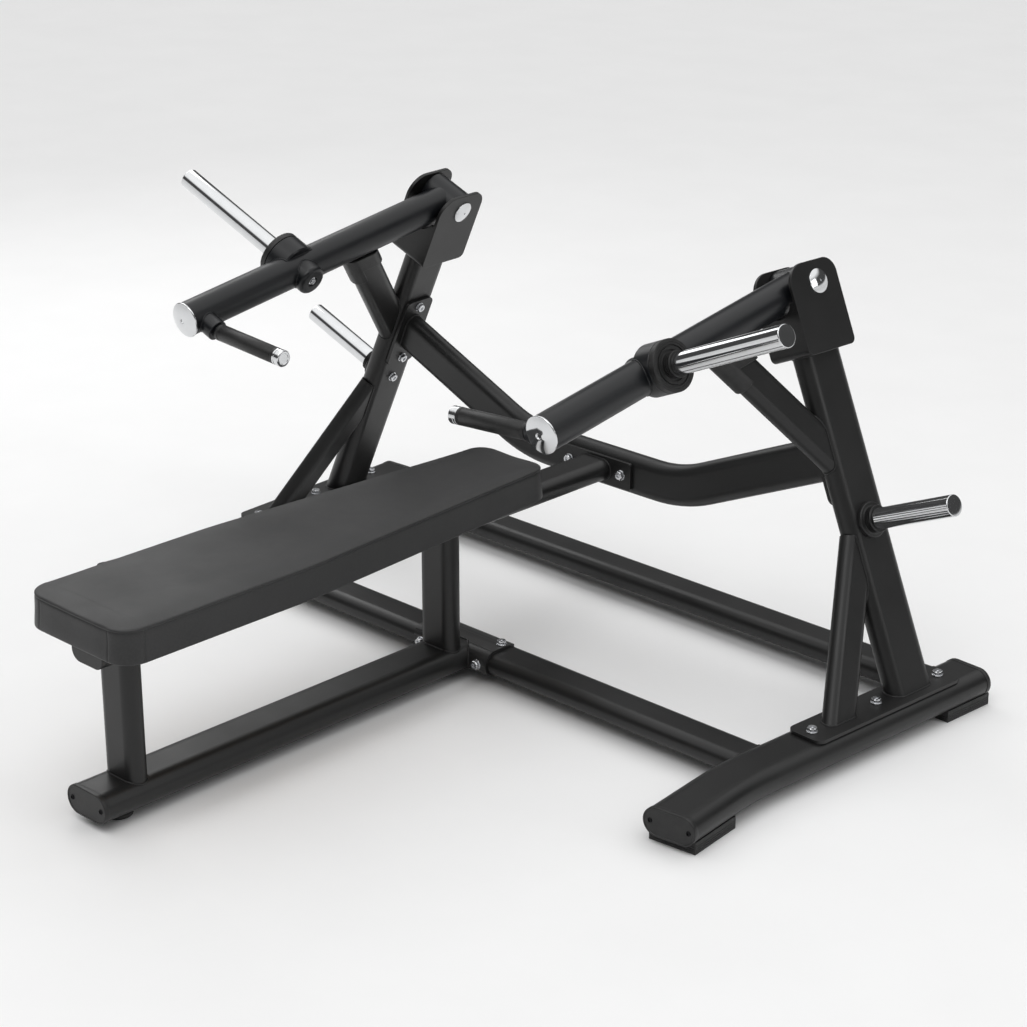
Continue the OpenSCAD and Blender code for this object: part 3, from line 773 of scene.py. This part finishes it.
def neck(start, r_in, r_out, length):
    """Ribbed sleeve profile, from its root outwards and back down to the bar."""
    points = [(start, r_out + 1.5), (start + 1.0, r_out)]
    for i in range(3):
        x = start + 3.0 + i * (length - 4.0) / 3
        points += [(x, r_out), (x + 0.5, r_out - 2.0), (x + 1.8, r_out - 2.0), (x + 2.3, r_out)]
    points += [(start + length - 1.0, r_out), (start + length, r_out - 1.0), (start + length, r_in)]
    return points


def horn_place(s):
    """Where a weight horn leaves its arm: x runs outwards along the horn."""
    return arm_frame(s) @ move(0, HORN_AT, 0)


def build_horn(side_name, s):
    bm = bmesh.new()
    chrome_bar(bm, horn_place(s), BOSS_LEN + 0.2, BOSS_LEN + STOP_T + NECK_LEN + 1, HORN_TIP, HORN_D / 2)
    publish(bm, side_name + "_horn_chrome", side_name + "_arm", "chrome", (side_name + "_weight_horn",))


def build_peg(side_name, s):
    bm = bmesh.new()
    root = POST_T / 2 + PEG_FLANGE_T
    peg = side_frame(s) @ move(0, POST_Y, PEG_Z)
    chrome_bar(bm, peg, root + 0.2, root + NECK_LEN + 1, PEG_TIP, HORN_D / 2)
    publish(bm, side_name + "_peg_chrome", "frame", "chrome", (side_name + "_storage_peg",))


def build_stop(side_name, s):
    """Rubber stop: a grooved disc with a ribbed sleeve round the horn's root."""
    start, face = BOSS_LEN, BOSS_LEN + STOP_T
    rim, bore = BOSS_D / 2, HORN_D / 2 - BORE_FIT
    profile = [(start, bore), (start, rim - 2.6), (start + 1.3, rim - 2.6), (start + 1.3, rim - 0.6)]
    profile += [(start + 1.9, rim), (face - 1.8, rim)]
    profile += rounded(face - 1.8, rim, 1.8, -1.8, 4)
    profile += [(face, rim - 7), (face - 1.0, rim - 7.8), (face - 1.0, rim - 12)]
    profile += [(face - 3.4, rim - 12.6), (face - 3.4, rim - 15.6), (face - 1.0, rim - 16.4)]
    profile += [(face - 1.0, rim - 22), (face - 4.0, rim - 22.6)]
    profile += neck(face - 4, bore, NECK_D / 2 - 1.5, NECK_LEN + 4)
    profile += [(start, bore)]
    bm = bmesh.new()
    lathe(bm, profile, horn_place(s), 96)
    publish(bm, side_name + "_stop_rubber", side_name + "_arm", "grip_rubber", (side_name + "_horn_stop",))


def build_boss(side_name, s):
    """The horn's outer boss, and the smaller one on the arm's inner side."""
    rim = BOSS_D / 2
    bm = bmesh.new()
    outer = [(-1, 0), (-1, rim - 3), (2, rim), (BOSS_LEN - 1, rim), (BOSS_LEN, rim - 1), (BOSS_LEN, 0)]
    lathe(bm, outer, horn_place(s), 96)
    small, end, recess = INNER_BOSS_D / 2, -INNER_BOSS_LEN, 12.5
    inner = [(0, 0), (0, small), (end + 9, small)]
    inner += rounded(end + 9, small, -9, -9)
    inner += [(end, recess), (end + 1.2, recess - 1.0), (end + 4.0, recess - 1.5), (end + 4.0, 0)]
    lathe(bm, inner, horn_place(s), 96)
    publish(bm, side_name + "_boss_body", side_name + "_arm", "arm_paint", (side_name + "_horn_boss",))


def build_boss_screw(side_name, s):
    bm = bmesh.new()
    at = horn_place(s) @ move(-INNER_BOSS_LEN + 4.2, 0, 0) @ turn(-math.pi / 2, "Y")
    hex_bolt(bm, at, 13, 4.5, 20, 1.2, 10)
    publish(bm, side_name + "_boss_screw", side_name + "_arm", "zinc_bolts", (side_name + "_boss_bolt",))


def build_arm_cap(side_name, s):
    """Domed chrome cap on the arm's end, with a dimple in its middle."""
    cap_r = ARM_D / 2 + 1.5
    lip, end = ARM_LEN - 12, ARM_LEN
    profile = [(lip - PLUG_LEN, 0), (lip - PLUG_LEN, PLUG_R), (lip, PLUG_R), (lip, cap_r - 1)]
    profile += [(lip + 1, cap_r), (lip + 2.2, cap_r)]
    profile += rounded(lip + 2.2, cap_r, 2.4, -2.4, 5)
    profile += dome(lip + 4.6, cap_r - 2.4, 7.2, 12, 6.0)
    profile += [(end - 0.9, 5.2), (end - 2.6, 4.4), (end - 2.6, 0)]
    bm = bmesh.new()
    lathe(bm, profile, arm_frame(s) @ turn(math.pi / 2, "Z"), 96)
    publish(bm, side_name + "_arm_cap_chrome", side_name + "_arm", "chrome", (side_name + "_arm_end_cap",))


def build_shaft(side_name, s):
    """Pivot shaft in two halves that meet in its middle, each with a domed head."""
    head_r = HEAD_D / 2
    profile = [(0, 0), (0, SHAFT_R), (EAR_OUT, SHAFT_R), (EAR_OUT, head_r - 0.6)]
    profile += [(EAR_OUT + 0.6, head_r), (EAR_OUT + 1.6, head_r)]
    profile += rounded(EAR_OUT + 1.6, head_r, 1.4, -1.4, 4)
    profile += dome(EAR_OUT + 3.0, head_r - 1.4, HEAD_H - 3.0, 10, 2.6)
    profile += [(EAR_OUT + HEAD_H - 1.6, 2.2), (EAR_OUT + HEAD_H - 1.6, 0)]
    bm = bmesh.new()
    for e in (1, -1):
        lathe(bm, profile, side_frame(s) @ Matrix.Translation(PIVOT) @ Matrix.Diagonal((e, 1, 1, 1)), 96)
    publish(bm, side_name + "_shaft_chrome", "frame", "chrome", (side_name + "_pivot_shaft",))


def build_handle(side_name, s):
    """The handle's collar on the arm, and the bar that turns off it."""
    collar, edge = COLLAR_D / 2, 2
    profile = [(0, 0), (0, collar), (-COLLAR_LEN + edge, collar)]
    profile += rounded(-COLLAR_LEN + edge, collar, -edge, -edge, 4)
    profile += [(-COLLAR_LEN, 0)]
    bm = bmesh.new()
    lathe(bm, profile, arm_frame(s) @ move(0, HANDLE_AT, 0), 64)
    end = HANDLE_LEN - HANDLE_CAP
    lathe(bm, [(-BAR_ROOT, 0), (-BAR_ROOT, BAR_R), (end, BAR_R), (end, 0)], handle_frame(s), 64)
    publish(bm, side_name + "_handle_steel", side_name + "_arm", "arm_paint", (side_name + "_handle_bar",))


def build_grip(side_name, s):
    """Rubber grip with a moulded groove near each end."""
    r, start, end = GRIP_D / 2, GRIP_GAP, HANDLE_LEN - HANDLE_CAP
    profile = [(start, BAR_R), (start, r - 0.4), (start + 1, r), (start + 7, r), (start + 8, r - 0.9)]
    profile += [(start + 9.5, r - 0.9), (start + 10.5, r - 0.2), (end - 9.5, r - 0.2)]
    profile += [(end - 8.5, r - 0.9), (end - 7, r - 0.9), (end - 6, r), (end - 0.6, r)]
    profile += [(end, r - 0.6), (end, BAR_R)]
    bm = bmesh.new()
    lathe(bm, profile, handle_frame(s), 64)
    publish(bm, side_name + "_grip_rubber", side_name + "_arm", "grip_rubber", (side_name + "_handle_grip",))


def build_handle_cap(side_name, s):
    """Chrome cap on the handle's end, grooved near the grip and dished in its face."""
    r, start, end = GRIP_D / 2, HANDLE_LEN - HANDLE_CAP, HANDLE_LEN
    profile = [(start + 0.1, 0), (start + 0.1, r - 0.5), (start + 0.6, r), (start + 5, r)]
    profile += [(start + 5.5, r - 0.7), (start + 7, r - 0.7), (start + 7.5, r), (end - 2.5, r)]
    profile += rounded(end - 2.5, r, 2.5, -2.5, 5)
    profile += [(end, r * 0.66), (end - 0.7, r * 0.62), (end - 0.7, 0)]
    bm = bmesh.new()
    lathe(bm, profile, handle_frame(s), 64)
    publish(bm, side_name + "_handle_cap_chrome", side_name + "_arm", "chrome", (side_name + "_handle_cap",))


def polish_side(side_name):
    for part in ("base_plate", "pivot_bracket"):
        polished(side_name + "_" + part, 1.4, 3)
    polished(side_name + "_rest_bumper", 2.2, 3)


def weld_side(side_name):
    """Beads of a side frame's joints and of its arm's."""
    post, leg, base = side_name + "_main_post", side_name + "_frame_leg", side_name + "_base_plate"
    beam, tube = side_name + "_foot_beam", side_name + "_arm_tube"
    frame_joints = [(post, base), (leg, base), (leg, post), (side_name + "_rest_brace", post)]
    frame_joints += [(post, side_name + "_pivot_bracket")]
    frame_joints += [("front_cross_tube", beam), ("rear_cross_tube", beam)]
    weld(frame_joints, side_name + "_frame_welds", "frame", "frame_paint")
    arm_joints = [(side_name + "_horn_boss", tube), (side_name + "_handle_bar", tube)]
    weld(arm_joints, side_name + "_arm_welds", side_name + "_arm", "arm_paint", 1.9)


def build_side(side_name, s):
    build_horn(side_name, s)
    build_peg(side_name, s)
    build_stop(side_name, s)
    build_boss(side_name, s)
    build_boss_screw(side_name, s)
    build_arm_cap(side_name, s)
    build_shaft(side_name, s)
    build_handle(side_name, s)
    build_grip(side_name, s)
    build_handle_cap(side_name, s)
    polish_side(side_name)
    weld_side(side_name)


def build_peg_flanges():
    """Plastic flanges with ribbed sleeves, where the storage pegs leave the posts."""
    root, rim, bore = POST_T / 2, PEG_FLANGE_D / 2, HORN_D / 2 - BORE_FIT
    face = root + PEG_FLANGE_T
    profile = [(root, bore), (root, rim), (face - 3, rim)]
    profile += rounded(face - 3, rim, 3, -3)
    profile += neck(face, bore, NECK_D / 2, NECK_LEN)
    profile += [(root, bore)]
    bm = bmesh.new()
    for _, s in SIDES:
        lathe(bm, profile, side_frame(s) @ move(0, POST_Y, PEG_Z), 96)
    publish(bm, "peg_flange_plastic", "frame", "end_cap_plastic", ("peg_flanges",))


def build_base_bolts():
    bm = bmesh.new()
    for _, s in SIDES:
        base = mirrored(s) @ Matrix.Translation(BASE) @ turn(-TOE, "Z")
        for i in (-1, 0, 1):
            hex_bolt(bm, base @ move(0, BASE_BOLT_STEP * i, 0) @ turn(0.3 + i, "Z"))
    publish(bm, "base_hex_bolts", "frame", "zinc_bolts", ("base_bolts",), 30)


def build_post_bolts():
    """Two bolts through each cross plate and one behind each storage peg."""
    low, high = CROSS_Z - CROSS_STEP / 2, CROSS_Z + CROSS_STEP / 2
    bm = bmesh.new()
    for _, s in SIDES:
        inner = side_frame(s) @ move(-POST_T / 2, POST_Y, 0)
        for z, deep in ((low, PLATE_T), (high, PLATE_T), (PEG_Z, 0)):
            spin = turn(z, "Z")  # the height also sets how far each head is turned
            hex_bolt(bm, inner @ move(-deep, 0, z) @ turn(-math.pi / 2, "Y") @ spin)
    publish(bm, "post_hex_bolts", "frame", "zinc_bolts", ("post_bolts",), 30)


def build_bench_bolts():
    bm = bmesh.new()
    for e in (-1, 1):
        x, y, z = BENCH_BOLTS["flange"]
        hex_bolt(bm, move(x * e, y, z) @ turn(math.pi / 2, "X") @ turn(0.4 * e, "Z"))
        x, y, z = BENCH_BOLTS["saddle_top"]
        hex_bolt(bm, move(x * e, y, z) @ turn(0.2 * e, "Z"))
        x, y, z = BENCH_BOLTS["saddle_face"]
        hex_bolt(bm, move(x * e, y, z) @ turn(math.pi / 2, "X") @ turn(0.7 * e, "Z"))
    publish(bm, "bench_hex_bolts", "frame", "zinc_bolts", ("bench_bolts",), 30)


def beam_ends(s):
    """The outer faces of a foot beam's two caps: x points into the tube, y across it, z up."""
    half_turn = BEAM_R * math.tan(BEAM_TURN / 2)
    rear_run = (BEAM_Y - BEAM_VERTEX_Y) / math.cos(TOE)
    start = Vector((BASE.x + (BEAM_Y - BASE.y) * math.tan(TOE), BEAM_Y, RAIL_Z))
    rear = mirrored(s) @ Matrix.Translation(start) @ turn(-math.pi / 2 - TOE, "Z")
    bend = move(rear_run - half_turn, BEAM_R, 0) @ turn(BEAM_TURN, "Z") @ move(0, -BEAM_R, 0)
    front = rear @ bend @ move(BEAM_FRONT - half_turn, 0, 0) @ Matrix.Diagonal((-1, 1, 1, 1))
    return rear, front


def oval_rings(bm, matrix, profile, half_w=61.0, half_t=31.0, steps=24):
    """Adds a flat-oval solid from (x, inset) pairs, closed at both ends."""
    rings = []
    for x, inset in profile:
        r, ring = half_t - inset, []
        for i in range(2 * steps):
            a = math.pi * (i % steps) / (steps - 1) - math.pi / 2
            end = 1 if i < steps else -1
            y, z = end * (half_w - half_t + r * math.cos(a)), end * r * math.sin(a)
            ring.append(bm.verts.new(matrix @ Vector((x, y, z)) * MM))
        rings.append(ring)
    for low, high in zip(rings, rings[1:]):
        for i in range(len(low)):
            j = (i + 1) % len(low)
            bm.faces.new([low[i], low[j], high[j], high[i]])
    bm.faces.new(rings[0])
    bm.faces.new(rings[-1])


def bench_end():
    """The outer face of the bottom rail's cap: x points into the tube."""
    return move(0, -HALF_LEN + 5, RAIL_Z) @ turn(math.pi / 2, "Z")


def build_caps(places, name, node):
    """Plastic tube caps with a raised rim round a shallow dish."""
    plug = 4.4
    profile = [(CAP_T + 18, plug), (CAP_T + 0.1, plug), (CAP_T + 0.1, 1.2), (CAP_T - 0.2, 0.2)]
    profile += [(CAP_T - 0.9, 0), (1.5, 0), (0.8, 0.2), (0.2, 0.8), (0, 1.5), (0, 3.4)]
    profile += [(1.1, 4.2), (1.1, 5.0), (1.1, 14)]
    bm = bmesh.new()
    for at in places:
        oval_rings(bm, at, profile)
    publish(bm, name, "frame", "end_cap_plastic", (node,))


def build_cap_screws(places):
    """Two button-head screws in each tube cap."""
    head = [(6, 0), (6, 2.4), (1.3, 2.4), (1.3, 5.4), (0.6, 5.4), (-0.3, 4.9), (-0.9, 3.9)]
    head += [(-1.1, 2.9), (0.9, 2.6), (0.9, 0)]
    bm = bmesh.new()
    for at in places:
        for e in (-1, 1):
            lathe(bm, head, at @ move(0, e * SCREW_X, 0), 32)
    publish(bm, "cap_button_screws", "frame", "black_screws", ("cap_screws",), 30)


def pad_outline(x0):
    """Corner-rounded outline of a floor pad that starts at x0, as (x, y) pairs."""
    r = 3.0
    near, far, half = x0 + r, x0 + FOOT_LEN - r, FOOT_W / 2 - r
    points = []
    for cx, cy, start in ((far, half, 0), (near, half, 90), (near, -half, 180), (far, -half, 270)):
        for k in range(4):
            a = math.radians(start + 30 * k)
            points.append((cx + r * math.cos(a), cy + r * math.sin(a)))
    return points


def build_pad_ribs():
    """Moulded ribs round the sides of the four floor pads."""
    rib_r = 1.1 * MM
    bm = bmesh.new()
    for _, s in SIDES:
        rear, front = beam_ends(s)
        for at, x0 in ((rear, -PAD_OUT), (front, PAD_IN)):
            for z in (5.5, 10.5, 15.5):
                points = [at @ Vector((x, y, z - RAIL_Z)) * MM for x, y in pad_outline(x0)]
                sweep(bm, points, lambda i: rib_r, True)
    publish(bm, "floor_pad_ribs", "frame", "floor_rubber", (), 60)


def build_bench_foot():
    """Round rubber foot under the bench's free end."""
    profile = [(0, 0), (0, 27), (1.5, 29.5), (3, 30), (9, 30), (11, 27.5), (18, 27.0)]
    profile += [(18, 6.1), (36, 6), (36, 0)]
    bm = bmesh.new()
    lathe(bm, profile, move(0, BENCH_FOOT_Y, 0) @ turn(-math.pi / 2, "Y"), 64)
    publish(bm, "bench_foot_rubber", "frame", "floor_rubber", ("bench_foot",))


def build_floor():
    """A wide pale floor, just below the object's feet."""
    mat, tree, bsdf = shader("studio_floor", Roughness=0.75)
    tree.links.new(ramp(tree, noise(tree, 3.0), (0.88,) * 3, (0.90,) * 3), bsdf.inputs["Base Color"])
    mesh = bpy.data.meshes.new("floor")
    size = 30.0
    corners = [(-size, -size, 0), (size, -size, 0), (size, size, 0), (-size, size, 0)]
    mesh.from_pydata(corners, [], [(0, 1, 2, 3)])
    mesh.materials.append(mat)
    floor = bpy.data.objects.new("floor", mesh)
    floor.location.z = -0.0005
    bpy.context.scene.collection.objects.link(floor)


def build_world():
    """A pale horizon, a dark wall above it and a wide white ceiling, for the chrome to mirror."""
    world = bpy.data.worlds.new("studio")
    world.use_nodes = True
    tree = world.node_tree
    coord = tree.nodes.new("ShaderNodeTexCoord")
    split = tree.nodes.new("ShaderNodeSeparateXYZ")
    tree.links.new(coord.outputs["Generated"], split.inputs["Vector"])
    sky = tree.nodes.new("ShaderNodeValToRGB")
    levels = ((0.0, 0.66), (0.06, 0.64), (0.11, 0.05), (0.47, 0.06), (0.63, 0.90), (1.0, 1.0))
    elements = sky.color_ramp.elements
    elements[0].position, elements[1].position = levels[0][0], levels[-1][0]
    for at, _ in levels[1:-1]:
        elements.new(at)
    for element, (_, value) in zip(elements, levels):
        element.color = (value, value, value, 1)
    tree.links.new(split.outputs["Z"], sky.inputs["Fac"])
    background = tree.nodes["Background"]
    tree.links.new(sky.outputs["Color"], background.inputs["Color"])
    background.inputs["Strength"].default_value = 1.25
    bpy.context.scene.world = world
    bpy.context.scene.view_settings.view_transform = "Standard"


def softbox(name, at, target, size_x, size_y, power):
    """A rectangular light that faces its target."""
    light = bpy.data.lights.new(name, "AREA")
    light.shape = "RECTANGLE"
    light.size, light.size_y = size_x, size_y
    light.energy = power
    obj = bpy.data.objects.new(name, light)
    obj.location = at
    obj.rotation_euler = (Vector(target) - Vector(at)).to_track_quat("-Z", "Y").to_euler()
    bpy.context.scene.collection.objects.link(obj)


def build_camera():
    camera = bpy.data.objects.new("camera", bpy.data.cameras.new("camera"))
    camera.data.sensor_width = 36.0
    camera.data.lens = 87.58
    camera.data.clip_end = 100.0
    camera.location = (3.5849, -3.3466, 2.3374)
    camera.rotation_euler = (math.radians(90 - 21.41), 0, math.radians(44.14))
    bpy.context.scene.collection.objects.link(camera)
    bpy.context.scene.camera = camera


def build_stage():
    """Floor, surroundings, soft lights and camera."""
    build_floor()
    build_world()
    softbox("key_softbox", (1.6, -4.5, 9.0), (0, 0, 0.4), 5.0, 5.0, 150)
    softbox("back_softbox", (-3.4, 1.3, 2.6), (0, -0.4, 0.4), 2.2, 1.6, 22)
    softbox("side_softbox", (5.0, 1.6, 2.4), (0.5, 0, 0.5), 1.8, 2.0, 26)
    build_camera()


def weld_bench():
    """Beads of the bench's joints and of the cross plates."""
    joints = []
    for leg in ("bench_front_leg", "bench_rear_leg"):
        joints += [(leg, "bench_bottom_rail"), (leg, "bench_top_rail")]
    joints += [("bench_top_rail", "bench_flange"), ("bench_bottom_rail", "bench_saddle")]
    joints += [("upper_cross_tube", "cross_plates")]
    weld(joints, "bench_welds", "frame", "frame_paint")


for node, obj in nodes.items():
    obj.data.materials.clear()
    obj.data.materials.append(MAT[slot_of[node]])

build_stage()
cushion()
for side_name, s in SIDES:
    build_side(side_name, s)
build_peg_flanges()
build_base_bolts()
build_post_bolts()
build_bench_bolts()
build_bench_foot()
polished("cross_plates", 1.4, 3)
polished("bench_flange", 1.4, 3)
polished("bench_saddle", 1.0, 2)
polished("top_rail_cap", 1.6, 3)
tube_ends = [end for _, s in SIDES for end in beam_ends(s)]
build_caps(tube_ends, "beam_cap_plastic", "beam_end_caps")
build_caps([bench_end()], "rail_cap_plastic", "bottom_rail_cap")
build_cap_screws(tube_ends + [bench_end()])
build_pad_ribs()
polished("foot_pads", 2.0, 3)
weld_bench()
